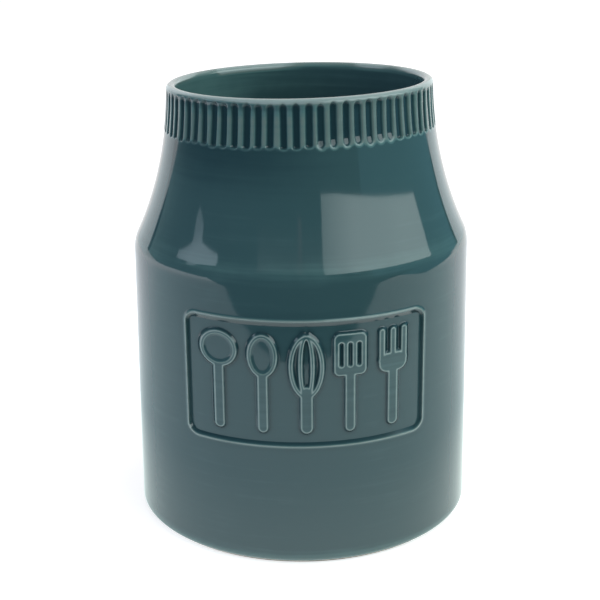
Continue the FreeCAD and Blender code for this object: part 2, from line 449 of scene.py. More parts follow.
def new_group(name, inputs, outputs):
    """An empty node group with float inputs and the named outputs."""
    group = bpy.data.node_groups.new(name, "ShaderNodeTree")
    for label, default in inputs:
        socket = group.interface.new_socket(label, in_out="INPUT", socket_type="NodeSocketFloat")
        socket.default_value = default
    for label in outputs:
        group.interface.new_socket(label, in_out="OUTPUT", socket_type="NodeSocketFloat")
    return group, group.nodes.new("NodeGroupInput"), group.nodes.new("NodeGroupOutput")


def kiln_grain():
    """Group: slow mottling, level brush streaks and fine grain of a fired surface."""
    name = "kiln_grain"
    if name in bpy.data.node_groups:
        return bpy.data.node_groups[name]
    inputs = [("Mottle size", 45.0), ("Streak size", 420.0), ("Grain size", 1400.0)]
    group, given, put_out = new_group(name, inputs, ("Mottle", "Streaks", "Grain"))
    place = group.nodes.new("ShaderNodeTexCoord")
    level_pull = (0.04, 0.04, 1.0)
    pulled = group.nodes.new("ShaderNodeVectorMath")
    pulled.operation = "MULTIPLY"
    pulled.inputs[1].default_value = level_pull
    group.links.new(place.outputs["Object"], pulled.inputs[0])
    layers = (
        ("Mottle", "Mottle size", place.outputs["Object"], 3.0, 0.55),
        ("Streaks", "Streak size", pulled.outputs[0], 2.0, 0.6),
        ("Grain", "Grain size", place.outputs["Object"], 2.0, 0.5),
    )
    for label, size, vector, detail, rough in layers:
        noise = group.nodes.new("ShaderNodeTexNoise")
        noise.inputs["Detail"].default_value = detail
        noise.inputs["Roughness"].default_value = rough
        group.links.new(vector, noise.inputs["Vector"])
        group.links.new(given.outputs[size], noise.inputs["Scale"])
        group.links.new(noise.outputs["Fac"], put_out.inputs[label])
    return group


def math_node(tree, operation, first, second, third=None):
    """A math node whose inputs are sockets or numbers."""
    node = tree.nodes.new("ShaderNodeMath")
    node.operation = operation
    for socket, value in zip(node.inputs, (first, second, third)):
        if value is None:
            continue
        if isinstance(value, (int, float)):
            socket.default_value = value
        else:
            tree.links.new(value, socket)
    return node.outputs[0]


def set_ramp(node, stops):
    """Gives a colour ramp its stops, (place, colour) in order of place."""
    marks = node.color_ramp.elements
    while len(marks) < len(stops):
        marks.new(0.5)
    for number, (position, value) in enumerate(stops):
        marks[number].position = position
        marks[number].color = node_colour(value)


def new_material(name):
    """A material and its node tree."""
    material = bpy.data.materials.new(name)
    material.use_nodes = True
    return material, material.node_tree


def add_grain(tree):
    """The kiln grain group, placed in a material."""
    grain = tree.nodes.new("ShaderNodeGroup")
    grain.node_tree = kiln_grain()
    return grain


def add_bump(tree, height, distance):
    """Fine relief on the material's shader, from a height socket."""
    bump = tree.nodes.new("ShaderNodeBump")
    bump.inputs["Distance"].default_value = distance
    tree.links.new(height, bump.inputs["Height"])
    tree.links.new(bump.outputs["Normal"], tree.nodes["Principled BSDF"].inputs["Normal"])


def glaze_material(finish):
    """Glossy teal glaze, pale where it is thin and near black where it has pooled, with painted light and
    shade carried in the same thickness attribute.
    """
    glaze_ior = 1.52
    streak_share, mottle_share, streak_wave = 0.30, 0.30, 0.12
    pool_gain, pool_zero = 0.45, 0.4325
    rough_spread = 0.05
    stops = [
        (0.0, finish.bare), (0.19, finish.thin), (0.30, finish.washed),
        (0.5, finish.plain), (0.95, finish.pooled),
    ]
    material, tree = new_material("crock_teal_glaze")
    shader = tree.nodes["Principled BSDF"]
    shader.inputs["IOR"].default_value = glaze_ior
    grain = add_grain(tree)
    thickness = tree.nodes.new("ShaderNodeAttribute")
    thickness.attribute_name = POOL_AND_LIGHT
    streaks = math_node(tree, "MULTIPLY_ADD", grain.outputs["Streaks"], streak_share, -streak_share / 2)
    mottled = math_node(tree, "MULTIPLY_ADD", grain.outputs["Mottle"], mottle_share, streaks)
    pool = math_node(tree, "ADD", thickness.outputs["Fac"], mottled)
    level = math_node(tree, "MULTIPLY_ADD", pool, pool_gain, pool_zero)
    ramp = tree.nodes.new("ShaderNodeValToRGB")
    ramp.color_ramp.interpolation = "EASE"
    set_ramp(ramp, stops)
    tree.links.new(level, ramp.inputs["Fac"])
    tree.links.new(ramp.outputs["Color"], shader.inputs["Base Color"])
    rough_least = finish.roughness - rough_spread / 2
    rough = math_node(tree, "MULTIPLY_ADD", grain.outputs["Grain"], rough_spread, rough_least)
    tree.links.new(rough, shader.inputs["Roughness"])
    waves = math_node(tree, "MULTIPLY_ADD", grain.outputs["Streaks"], streak_wave, grain.outputs["Mottle"])
    add_bump(tree, waves, finish.ripple)
    return material


def biscuit_material(finish):
    """Dry cream clay with fine specks."""
    shine, mottle_size, speck_shade = 0.25, 90.0, 0.62
    grain_share, mottle_share = 0.55, 0.30
    rough_least, rough_spread = 0.7, 0.2
    pit_depth = 0.15 * MM
    stops = [(0.30, [speck_shade * c for c in finish.biscuit]), (0.58, finish.biscuit)]
    material, tree = new_material("crock_biscuit")
    shader = tree.nodes["Principled BSDF"]
    shader.inputs["Specular IOR Level"].default_value = shine
    grain = add_grain(tree)
    grain.inputs["Mottle size"].default_value = mottle_size
    specks = tree.nodes.new("ShaderNodeValToRGB")
    set_ramp(specks, stops)
    speckle = math_node(tree, "MULTIPLY_ADD", grain.outputs["Grain"], grain_share, 0.5 - grain_share / 2)
    mixed = math_node(tree, "MULTIPLY_ADD", grain.outputs["Mottle"], mottle_share, speckle)
    dry = math_node(tree, "ADD", mixed, -mottle_share / 2)
    tree.links.new(dry, specks.inputs["Fac"])
    tree.links.new(specks.outputs["Color"], shader.inputs["Base Color"])
    rough = math_node(tree, "MULTIPLY_ADD", grain.outputs["Grain"], rough_spread, rough_least)
    tree.links.new(rough, shader.inputs["Roughness"])
    add_bump(tree, grain.outputs["Grain"], pit_depth)
    return material


def finish_material(slot):
    """The material of a slot, made the first time it is asked for."""
    name = "crock_" + slot
    if name in bpy.data.materials:
        return bpy.data.materials[name]
    makers = {"teal_glaze": glaze_material, "biscuit": biscuit_material}
    return makers[slot](bpy.context.scene.crock_finish)


def even_angles(count):
    """Angles round the pot, the first one at the front."""
    return FRONT + np.arange(count) * 2.0 * math.pi / count


def open_pool_and_shade(finish, x, z):
    """Glaze thickness on the plain outside: gathered below the collar, with painted shade there that is full
    on the left and fades out to the right, thin at shoulder and foot.
    """
    run_end, run_start = 136.0 * MM, 160.0 * MM
    shade_right, shade_left, shade_least = 25.0 * MM, -20.0 * MM, 0.08
    foot_top, foot_end = 7.5 * MM, 1.0 * MM
    shoulder, shoulder_reach = 119.0 * MM, 7.0 * MM
    # Painted shade: the darkening below the collar is full on the left and fades out towards the right.
    left_shade = shade_least + (1.0 - shade_least) * smooth(shade_right, shade_left, x)
    gathered_and_shade = finish.run_down_and_shade * smooth(run_end, run_start, z) * left_shade
    foot = finish.foot_thin * smooth(foot_top, foot_end, z)
    edge = finish.shoulder_thin * ridge(shoulder, shoulder_reach, z)
    return gathered_and_shade - foot - edge


def panel_inset(panel, x, z):
    """Distance in from the panel's outline, negative outside it."""
    half_wide = panel.width / 2 - panel.corner
    half_tall = panel.height / 2 - panel.corner
    dx = np.abs(x) - half_wide
    dz = np.abs(z - panel.bottom - panel.height / 2) - half_tall
    outside = np.hypot(np.maximum(dx, 0.0), np.maximum(dz, 0.0))
    return panel.corner - outside - np.minimum(np.maximum(dx, dz), 0.0)


def panel_net(panel, under, step):
    """Flat net over the panel, its edge set in so that it lies under the frame."""
    return cut_sheet(
        lambda x, z: panel_inset(panel, x, z) - under,
        panel.width, panel.bottom, panel.bottom + panel.height, 0.0, step,
    )


def upright_bar(x, z, middle, low, high, width):
    """Distance from an upright bar with round ends, negative inside."""
    r = width / 2
    return np.hypot(x - middle, z - np.clip(z, low + r, high - r)) - r


def oval(x, z, middle, centre, width, tall):
    """Distance from an oval, negative inside."""
    u, v = x - middle, z - centre
    a, b = width / 2, tall / 2
    near = np.hypot(u / a, v / b)
    steep = np.hypot(u / a ** 2, v / b ** 2)
    return near * (near - 1.0) / np.maximum(steep, 1e-9 / MM)


def block(x, z, middle, low, high, width, corner):
    """Distance from an upright block with round corners, negative inside."""
    dx = np.abs(x - middle) - width / 2 + corner
    dz = np.abs(z - (low + high) / 2) - (high - low) / 2 + corner
    outside = np.hypot(np.maximum(dx, 0.0), np.maximum(dz, 0.0))
    return outside + np.minimum(np.maximum(dx, dz), 0.0) - corner


def joined(*shapes):
    """Union of distances with a small fillet where they meet."""
    fillet = 0.7 * MM
    result = shapes[0]
    for shape in shapes[1:]:
        blend = np.clip(0.5 + 0.5 * (shape - result) / fillet, 0.0, 1.0)
        result = shape * (1.0 - blend) + result * blend - fillet * blend * (1.0 - blend)
    return result


def ladle_form(panel, middle, x, z):
    """A ladle with a round bowl: distances from the tool and from its hollow."""
    across = 14.2 * MM
    centre = panel.row_top - across / 2
    tool = joined(
        upright_bar(x, z, middle, panel.row_foot, centre, panel.handle_width),
        oval(x, z, middle, centre, across, across),
    )
    inner = across - 2 * panel.bowl_edge
    return tool, oval(x, z, middle, centre, inner, inner)


def spoon_form(panel, middle, x, z):
    """A spoon with an oval bowl: distances from the tool and from its hollow."""
    width, tall = 11.4 * MM, 17.0 * MM
    centre = panel.row_top - tall / 2
    tool = joined(
        upright_bar(x, z, middle, panel.row_foot, centre, panel.handle_width),
        oval(x, z, middle, centre, width, tall),
    )
    edge = 2 * panel.bowl_edge
    return tool, oval(x, z, middle, centre, width - edge, tall - edge)


def whisk_form(panel, middle, x, z):
    """A whisk of two wire loops on a grip: distance from the tool, which has no hollow."""
    tall, wire, grip = 25.0 * MM, 1.6 * MM, 4.6 * MM
    outer_loop, inner_loop = 13.4 * MM, 6.2 * MM
    low = panel.row_top - tall
    loops = [upright_bar(x, z, middle, panel.row_foot, low + grip, grip)]
    for width in (outer_loop, inner_loop):
        line = oval(x, z, middle, low + tall / 2, width - wire, tall - wire)
        loops.append(np.abs(line) - wire / 2)
    return joined(*loops), None


def turner_form(panel, middle, x, z):
    """A turner with three slots: distance from the tool, which has no hollow."""
    width, tall, corner, margin = 12.4 * MM, 16.6 * MM, 2.2 * MM, 3.6 * MM
    slot_pitch, slot_width = 3.4 * MM, 1.6 * MM
    low = panel.row_top - tall
    tool = joined(
        upright_bar(x, z, middle, panel.row_foot, low + margin, panel.handle_width),
        block(x, z, middle, low, panel.row_top, width, corner),
    )
    for side in (-1, 0, 1):
        slot_middle = middle + side * slot_pitch
        slot = upright_bar(x, z, slot_middle, low + margin, panel.row_top - margin, slot_width)
        tool = np.maximum(tool, -slot)
    return tool, None


def fork_form(panel, middle, x, z):
    """A fork with three tines: distance from the tool, which has no hollow."""
    width, tall, root, tine, corner = 11.0 * MM, 17.5 * MM, 7.5 * MM, 2.3 * MM, 3.4 * MM
    low = panel.row_top - tall
    shapes = [
        upright_bar(x, z, middle, panel.row_foot, low + root / 2, panel.handle_width),
        block(x, z, middle, low, low + root, width, corner),
    ]
    for side in (-1, 0, 1):
        tine_middle = middle + side * (width - tine) / 2
        shapes.append(upright_bar(x, z, tine_middle, low + root / 2, panel.row_top, tine))
    return joined(*shapes), None


TOOLS = (
    ("relief_ladle", ladle_form),
    ("relief_spoon", spoon_form),
    ("relief_whisk", whisk_form),
    ("relief_turner", turner_form),
    ("relief_fork", fork_form),
)


def tool_middle(panel, place):
    """Where a tool stands across the panel."""
    return (place - (len(TOOLS) - 1) / 2) * panel.row_pitch


class CROCK_OT_base(bpy.types.Operator):
    """Turns the base: floor, rounded foot edge, inside cove and the rim that the wall laps on"""

    bl_idname = "crock.base"
    bl_label = "Base"

    def execute(self, context):
        pot, finish = context.scene.crock_pot, context.scene.crock_finish
        outline = PotOutline(pot)
        fine, coarse = 1.5 * MM, 2.0 * MM
        floor_top = pot.foot_height + pot.floor_thickness
        seat = base_seat(pot)
        rim_top = seat + pot.lap_height
        edge = pot.foot_edge_round
        edge_middle = (outline.radius(pot.foot_height + edge) - edge, pot.foot_height + edge)
        cove = pot.floor_cove
        cove_middle = (outline.radius(floor_top + cove, pot.wall) - cove, floor_top + cove)
        section = np.vstack([
            disc(edge_middle[0], pot.foot_height, 12),
            arc(edge_middle, edge, -90.0, 0.0, 8),
            outline.run(edge_middle[1], seat, fine)[1:],
            outline.run(seat, rim_top, coarse, pot.wall / 2),
            outline.run(rim_top, cove_middle[1], coarse, pot.wall),
            arc(cove_middle, cove, 0.0, -90.0, 10),
            disc(cove_middle[0], floor_top, 16)[-2::-1],
        ])
        turned = TurnedMesh(section, even_angles(COLUMNS), closed=False)
        points = turned.points()
        item = new_object("crock_base", leaned(points, pot), turned.faces())
        finish_piece(item, "crock_base", open_pool_and_shade(finish, points[:, 0], points[:, 2]), "teal_glaze")
        return {"FINISHED"}


class CROCK_OT_foot_ring(bpy.types.Operator):
    """Turns the dry ring that the pot stands on"""

    bl_idname = "crock.foot_ring"
    bl_label = "Foot Ring"

    def execute(self, context):
        pot = context.scene.crock_pot
        outer = pot.foot_radius - pot.foot_edge_round
        inner = outer - pot.foot_ring_width
        soft = 0.35 * MM
        top = pot.foot_height
        section = np.vstack([
            arc((outer - soft, soft), soft, -90.0, 0.0, 5),
            [[outer, top], [inner, top]],
            arc((inner + soft, soft), soft, 180.0, 270.0, 5),
            [[(inner + outer) / 2, 0.0]],
        ])
        turned = TurnedMesh(section, even_angles(COLUMNS), closed=True)
        points = turned.points()
        item = new_object("foot_ring", points, turned.faces())
        finish_piece(item, "foot_ring", np.zeros(len(points)), "biscuit")
        return {"FINISHED"}


class CROCK_OT_wall(bpy.types.Operator):
    """Turns the body wall with its shoulder and flare, and cuts the panel's pocket into it"""

    bl_idname = "crock.wall"
    bl_label = "Wall"

    def execute(self, context):
        pot, panel, finish = context.scene.crock_pot, context.scene.crock_panel, context.scene.crock_finish
        outline = PotOutline(pot)
        outer_step, inner_step, lap_step = 1.0 * MM, 1.5 * MM, 2.0 * MM
        frame_shade_share, frame_shade_reach = 0.20, 4.5 * MM
        low, high = base_seat(pot), collar_seat(pot)
        lap, lap_height = pot.wall / 2, pot.lap_height
        section = np.vstack([
            outline.run(low, high, outer_step),
            outline.run(high, high + lap_height, lap_step, lap),
            outline.run(high + lap_height, low + lap_height, inner_step, pot.wall),
            outline.run(low + lap_height, low, lap_step, lap),
        ])
        turned = TurnedMesh(section, even_angles(COLUMNS), closed=True)
        item = new_object("crock_wall", turned.points(), turned.faces())
        self.cut_pocket(item, outline, panel)
        points = np.array([v.co for v in item.data.vertices])
        x, y, z = points.T
        across = math.cos(panel.turn) * x + math.sin(panel.turn) * y
        inset = panel_inset(panel, across, z)
        # Painted shade: a darker band on the wall just outside the frame, on the front.
        frame_shade = frame_shade_share * smooth(-frame_shade_reach, -panel.frame_feather, inset) * (y < 0.0)
        pool = open_pool_and_shade(finish, x, z) + frame_shade
        item.data.vertices.foreach_set("co", leaned(points, pot).ravel())
        finish_piece(item, "crock_wall", pool, "teal_glaze")
        return {"FINISHED"}

    def cut_pocket(self, item, outline, panel):
        """Cuts the hollow that holds the panel; its edge lies under the frame."""
        under, step, clear = 0.25 * MM, 1.3 * MM, 1.0 * MM
        flat, faces = panel_net(panel, under, step)
        solid = thicken(outline, panel, flat, faces, -clear, panel.sunk + panel.thickness)
        cutter = new_object("cutter", *solid)
        hollow = item.modifiers.new("pocket", "BOOLEAN")
        hollow.operation = "DIFFERENCE"
        hollow.solver = "EXACT"
        hollow.object = cutter
        made = item.evaluated_get(bpy.context.evaluated_depsgraph_get())
        mesh = bpy.data.meshes.new_from_object(made)
        mesh.name = item.name
        item.modifiers.clear()
        item.data = mesh
        bpy.data.objects.remove(cutter)


class CROCK_OT_collar(bpy.types.Operator):
    """Turns the collar with its rounded lip and cuts the uneven upright flutes into it"""

    bl_idname = "crock.collar"
    bl_label = "Fluted Collar"

    columns_per_flute = 18

    def execute(self, context):
        pot, flutes, finish = context.scene.crock_pot, context.scene.crock_flutes, context.scene.crock_finish
        outline = PotOutline(pot)
        fine, coarse, inner_step, lap_step = 0.25 * MM, 1.2 * MM, 1.5 * MM, 2.0 * MM
        low_ends, high_ends = 5.0 * MM, 3.5 * MM
        seat = collar_seat(pot)
        lap_top = seat + pot.lap_height
        soft = (pot.wall - pot.lip_flat) / 2
        lip = pot.height - soft
        outside = np.vstack([
            outline.run(seat, seat + low_ends, fine),
            outline.run(seat + low_ends, lip - high_ends, coarse)[1:],
            outline.run(lip - high_ends, lip, fine)[1:],
            arc((pot.neck_radius - soft, lip), soft, 0.0, 90.0, 8),
        ])
        section = np.vstack([
            outside,
            arc((pot.neck_radius - pot.wall + soft, lip), soft, 90.0, 180.0, 8),
            outline.run(lip, lap_top, inner_step, pot.wall)[1:],
            outline.run(lap_top, seat, lap_step, pot.wall / 2),
        ])
        turned = TurnedMesh(section, even_angles(flutes.count * self.columns_per_flute), closed=True)
        rows = len(outside)
        cut, pool = self.flute_shape(turned, pot, flutes, finish)
        turned.radius[:rows] -= cut[:rows]
        x = turned.radius[rows:] * np.cos(turned.angles)
        y = turned.radius[rows:] * np.sin(turned.angles)
        pool[rows:] = self.inside_pool_and_light(x, y, pot.height - turned.height[rows:])
        item = new_object("fluted_collar", leaned(turned.points(), pot), turned.faces())
        finish_piece(item, "fluted_collar", pool.ravel(), "teal_glaze", sharp=70.0)
        return {"FINISHED"}

    def inside_pool_and_light(self, x, y, below):
        """Glaze thickness inside: painted light on the left, thin glaze on the lip, and painted highlights on
        two stretches and at both ends of the rim behind.
        """
        plain, washed = 0.05, 0.28
        inside_lit_right, inside_lit_left = -5.0 * MM, -45.0 * MM
        behind_thin, glint_share, end_glint_share = 0.55, 0.65, 0.5
        left_glint_reach, right_glint_reach = 0.7 * MM, 0.2 * MM
        lip_low, lip_high = 2.5 * MM, 0.7 * MM
        # Painted highlights: two stretches and both ends of the rim behind are made paler, reaching further
        # down on the stretches.
        left = stretch(-36.0, -33.0, -14.0, 6.0, x / MM)
        right = stretch(20.0, 30.0, 33.0, 41.0, x / MM)
        ends = smooth(-42.0, -46.0, x / MM) + smooth(36.0, 46.0, x / MM)
        behind = y >= 0.0
        reach = np.where(behind, left_glint_reach * left + right_glint_reach * right, 0.0)
        thin = np.where(behind, behind_thin + glint_share * (left + right) + end_glint_share * ends, 1.0)
        # Painted light: the inside is made paler towards the left.
        lit_side = plain + washed * smooth(inside_lit_right, inside_lit_left, x)
        return -lit_side - thin * smooth(lip_low + reach, lip_high + reach, below)

    def flute_shape(self, turned, pot, flutes, finish):
        """Depth of the flutes at each point and the glaze thickness that goes with it."""
        chance = np.random.default_rng(7)
        count = flutes.count

        def draw(spread):
            """One random value per flute."""
            return spread * flutes.unevenness * chance.uniform(-1, 1, count)

        width = flutes.width * (1.0 + draw(0.06))
        depth = flutes.depth * (1.0 + draw(0.10))
        low = collar_seat(pot) + flutes.bottom_margin + draw(0.35 * MM)
        high = pot.height - flutes.top_margin + draw(0.30 * MM)
        swing = draw(math.radians(0.25))
        tilt, tilt_span = draw(math.radians(0.22)), 10.0 * MM
        pitch = 2.0 * math.pi / count
        turn = turned.angles - FRONT - flutes.turn
        number = np.round(turn / pitch).astype(int) % count
        z = turned.height
        lean = tilt[number] * (z - z.mean()) / tilt_span
        off = (turn + pitch / 2) % pitch - pitch / 2 - swing[number] - lean
        half, low, high = width[number] / 2, low[number], high[number]
        steep_scoop, crown, easing, eased_length = 1.5, 0.8, 0.65, 3.4 * MM
        eased = stretch(3.0, 8.0, 38.0, 44.0, bearing(np.arange(count) * pitch + flutes.turn))[number]
        scoop = steep_scoop - easing * eased
        end = np.minimum(np.minimum(scoop * (z - low), crown * (high - z)), half) - half
        into = half - np.hypot(off * turned.radius, end)
        aside = bearing(turned.angles - FRONT)
        flank_top, flank_foot, broader = -0.12, 0.55, 0.24
        broad = broader * smooth(48.0, 64.0, np.abs(aside))
        shallow = 1.0 - easing * eased * smooth(eased_length, 0.0, z - low)
        cut = depth[number] * smooth(flank_top + broad, flank_foot, into / half) * shallow
        thin = self.flute_thin(finish, into, z - low, pot.height - z, aside)
        pool = open_pool_and_shade(finish, turned.radius * np.cos(turned.angles), z) * (1.0 - thin) - thin
        dark_edge, dark_full = 0.10, 0.52
        return cut, pool + (finish.hollow - pool) * smooth(dark_edge, dark_full, into / half)

    def flute_thin(self, finish, into, above, below, aside):
        """How thin the glaze is on the ribs, round the flutes' ends and on the lip."""
        rim_outer, rim_inner = -1.2 * MM, -0.3 * MM
        rib_low, rib_full = -0.6 * MM, 1.5 * MM
        fade_low, fade_high, fade_least, fade_more = 7.5 * MM, 2.6 * MM, 0.12, 0.30
        lip_low, lip_full = 2.4 * MM, 1.6 * MM
        lip_less_left, lip_less_right = 0.9 * MM, 0.35 * MM
        top_low, top_high, top_more = 1.0 * MM, 0.3 * MM, 0.1
        rim = finish.rim_thin * smooth(rim_outer, rim_inner, into)
        fade = fade_least + fade_more * smooth(16.0, -4.0, aside)
        rib = finish.rib_thin * smooth(rib_low, rib_full, above)
        rib = rib * (1.0 - fade * smooth(fade_low, fade_high, below))
        less = lip_less_left * smooth(-8.0, -36.0, aside) + lip_less_right * smooth(8.0, 24.0, aside)
        lip = smooth(lip_low - less, lip_full - less, below)
        top = 1.0 + top_more * smooth(top_low, top_high, below)
        return np.maximum(rim, rib) * (1.0 - lip) + lip * top


class CROCK_OT_panel(bpy.types.Operator):
    """Makes the sunk panel, a thin curved tile that lies in the wall's pocket"""

    bl_idname = "crock.panel"
    bl_label = "Panel"

    def execute(self, context):
        pot, panel = context.scene.crock_pot, context.scene.crock_panel
        under, step = 0.3 * MM, 0.5 * MM
        tool_share, tool_gap, tool_reach = 0.60, 0.8 * MM, 0.8 * MM
        frame_share, frame_reach = 0.35, 0.7 * MM
        flat, faces = panel_net(panel, under, step)
        x, z = flat[:, 0], flat[:, 1]
        forms = [form(panel, tool_middle(panel, place), x, z)[0] for place, (_, form) in enumerate(TOOLS)]
        from_tools = np.maximum(np.min(forms, axis=0) - tool_gap, 0.0)
        from_frame = np.maximum(panel_inset(panel, x, z) - panel.frame_width, 0.0)
        by_tools = tool_share * np.exp(-from_tools / tool_reach)
        by_frame = frame_share * np.exp(-from_frame / frame_reach)
        pool = np.tile(np.maximum(by_tools, by_frame), 2)
        back = panel.sunk + panel.thickness
        item = new_object("label_panel", *thicken(PotOutline(pot), panel, flat, faces, panel.sunk, back))
        finish_piece(item, "label_panel", pool, "teal_glaze")
        return {"FINISHED"}


class CROCK_OT_frame(bpy.types.Operator):
    """Makes the frame round the panel: a gentle slope up from the wall, a crest and a slope down"""

    bl_idname = "crock.frame"
    bl_label = "Panel Frame"

    def execute(self, context):
        pot, panel = context.scene.crock_pot, context.scene.crock_panel
        crest, feather, inner = panel.frame_crest, panel.frame_feather, panel.frame_width
        climb_rows, fall_rows, step = 9, 13, 0.8 * MM
        bury, seat, back = 0.03 * MM, 0.22 * MM, panel.sunk + 0.5 * MM
        climb_power, fall_power, lower_ease = 1.6, 1.15, 0.3
        rows_up, rows_down = np.linspace(-feather, crest, climb_rows), np.linspace(crest, inner, fall_rows)
        inset = np.concatenate([rows_up, rows_down[1:]])
        climb = np.clip((inset + feather) / (crest + feather), 0.0, 1.0)
        fall = np.clip((inset - crest) / (inner - crest), 0.0, 1.0)
        drop = panel.frame_proud + panel.sunk + seat
        depth = bury - (panel.frame_proud + bury) * climb ** climb_power + drop * fall
        bend = drop * (1.0 - fall - (1.0 - fall) ** fall_power)
        section = list(zip(inset, depth, bend, *self.glaze(inset, crest, inner)))
        section += [(edge, back, 0.0, 0.0, 0.0, 0.0) for edge in (inner, -feather)]
        path, outward = self.path(panel, step)
        upper, lower = np.maximum(outward[:, 1], 0.0), np.maximum(-outward[:, 1], 0.0)
        outline = PotOutline(pot)
        loops, pool = [], []
        for i, deep, curve, thick, above, below in section:
            stretched = i + max(i - crest, 0.0) * panel.frame_ease * (upper + lower_ease * lower)
            line = path - outward * stretched[:, None]
            loops.append(on_front(outline, panel, line[:, 0], line[:, 1], deep + curve * upper))
            pool.append(thick + above * upper + below * lower)
        rows, columns = len(section), len(path)
        grid = np.arange(rows * columns).reshape(rows, columns)
        above = np.roll(grid, -1, axis=0)
        quads = np.stack([grid, above, np.roll(above, -1, axis=1), np.roll(grid, -1, axis=1)], axis=-1)
        item = new_object("panel_frame", np.vstack(loops), quads.reshape(-1, 4).tolist())
        finish_piece(item, "panel_frame", np.concatenate(pool), "teal_glaze", sharp=80.0)
        return {"FINISHED"}

    def glaze(self, inset, crest, inner):
        """Glaze thickness along the section, and what is added to it on the upper and lower sides: painted
        shade with pooled glaze under the top, pooled glaze along the bottom.
        """
        outer_reach, inner_reach, crest_thin = 0.85 * MM, 0.60 * MM, 1.02
        foot_place, foot_reach, foot_share = 0.7 * (crest + inner), 0.8 * MM, 0.15
        slope_start, slope_full = crest + 0.03 * MM, crest + 0.35 * MM
        top_shade_share, top_shade_more, lower_share = 0.75, 0.8, 0.55
        broken = ridge(crest, np.where(inset < crest, outer_reach, inner_reach), inset)
        thickness = foot_share * ridge(foot_place, foot_reach, inset) - crest_thin * broken
        slope = smooth(slope_start, slope_full, inset)
        # Painted shade: the inner slope under the top of the frame is made darker than at the sides.
        return thickness, slope * (top_shade_share + top_shade_more * broken), lower_share * slope

    def path(self, panel, step):
        """Points (x, z) round the panel's outline, with the outward direction at each."""
        middle = np.array([0.0, panel.bottom + panel.height / 2])
        reach = np.array([panel.width / 2, panel.height / 2]) - panel.corner
        points, outward = [], []
        corner_points = 15
        for start in (0.0, 90.0, 180.0, 270.0):
            turns = np.radians(np.linspace(start, start + 90.0, corner_points))
            ways = np.column_stack([np.cos(turns), np.sin(turns)])
            centre = middle + reach * np.sign(ways[corner_points // 2])
            points.extend(centre + panel.corner * ways)
            outward.extend(ways)
            span = 2 * reach[0] if start in (0.0, 180.0) else 2 * reach[1]
            along = np.array([-ways[-1][1], ways[-1][0]])
            for done in np.linspace(0.0, span, int(span / step) + 1)[1:-1]:
                points.append(centre + panel.corner * ways[-1] + along * done)
                outward.append(ways[-1])
        return np.array(points), np.array(outward)


class CROCK_OT_tools(bpy.types.Operator):
    """Makes the row of raised kitchen tools on the panel"""

    bl_idname = "crock.tools"
    bl_label = "Relief Tools"

    def execute(self, context):
        pot, panel = context.scene.crock_pot, context.scene.crock_panel
        outline = PotOutline(pot)
        step, margin = 0.22 * MM, 2.0 * MM
        skirt, back = 1.25 * MM, panel.sunk + 0.5 * MM
        for place, (name, form) in enumerate(TOOLS):
            middle = tool_middle(panel, place)
            flat, faces = cut_sheet(
                lambda x, z: skirt - form(panel, middle, x, z)[0],
                panel.row_pitch + margin, panel.row_foot - skirt, panel.row_top + skirt, middle, step,
            )
            height, pool = self.relief(panel, *form(panel, middle, flat[:, 0], flat[:, 1]))
            item = new_object(name, *thicken(outline, panel, flat, faces, panel.sunk - height, back))
            finish_piece(item, name, np.tile(pool, 2), "teal_glaze", sharp=70.0)
        return {"FINISHED"}

    def relief(self, panel, tool, bowl):
        """Height above the panel and glaze thickness, from the distances to the tool and its hollow."""
        flank, brim, tuck = 0.95 * MM, 0.36 * MM, 0.4
        face_thin, edge_thin, edge_place, edge_reach = 0.10, 1.10, 0.9 * brim, 0.46 * MM
        foot_pool, foot_top, foot_low = 0.75, 0.05 * MM, -0.35 * MM
        into = -tool
        height = panel.relief_height * smooth(-flank, brim, into) - tuck * np.maximum(-flank - into, 0.0)
        pool = -face_thin - edge_thin * ridge(edge_place, edge_reach, into)
        if bowl is not None:
            dish_edge, dish_floor, dish_pool = 0.1 * MM, -1.3 * MM, 0.25
            bowl_thin, bowl_reach = 0.8, 0.4 * MM
            dish = smooth(dish_edge, dish_floor, bowl)
            height -= panel.bowl_sunk * dish
            pool += dish_pool * dish - bowl_thin * ridge(0.0, bowl_reach, bowl)
        pool += (foot_pool - pool) * smooth(foot_top, foot_low, into)
        return height, pool


def glow_material(name, value):
    """A card that only glows."""
    material, tree = new_material(name)
    tree.nodes.clear()
    glow = tree.nodes.new("ShaderNodeEmission")
    glow.inputs["Color"].default_value = node_colour(value)
    out = tree.nodes.new("ShaderNodeOutputMaterial")
    tree.links.new(glow.outputs[0], out.inputs["Surface"])
    return material


def graded_material(name, value, stops):
    """A glowing card whose brightness changes along its length; stops are (place, share)."""
    material = glow_material(name, value)
    tree = material.node_tree
    glow = tree.nodes["Emission"]
    place = tree.nodes.new("ShaderNodeAttribute")
    place.attribute_name = "along"
    ramp = tree.nodes.new("ShaderNodeValToRGB")
    set_ramp(ramp, [(position, (part, part, part)) for position, part in stops])
    tree.links.new(place.outputs["Fac"], ramp.inputs["Fac"])
    tree.links.new(ramp.outputs["Color"], glow.inputs["Strength"])
    return material


def mirrored_rays(tree):
    """Two sockets: 1 for rays from the camera, and 1 for mirrored and refracted rays."""
    path = tree.nodes.new("ShaderNodeLightPath")
    mirrored = math_node(tree, "MAXIMUM", path.outputs["Is Glossy Ray"], path.outputs["Is Transmission Ray"])
    return path.outputs["Is Camera Ray"], mirrored


def colour_mix(tree, factor, first, second):
    """A mix of two colours, each a socket or a plain colour."""
    node = tree.nodes.new("ShaderNodeMix")
    node.data_type = "RGBA"
    tree.links.new(factor, node.inputs["Factor"])
    for socket, value in ((node.inputs[6], first), (node.inputs[7], second)):
        if hasattr(value, "is_linked"):
            tree.links.new(value, socket)
        else:
            socket.default_value = node_colour(value)
    return node.outputs[2]


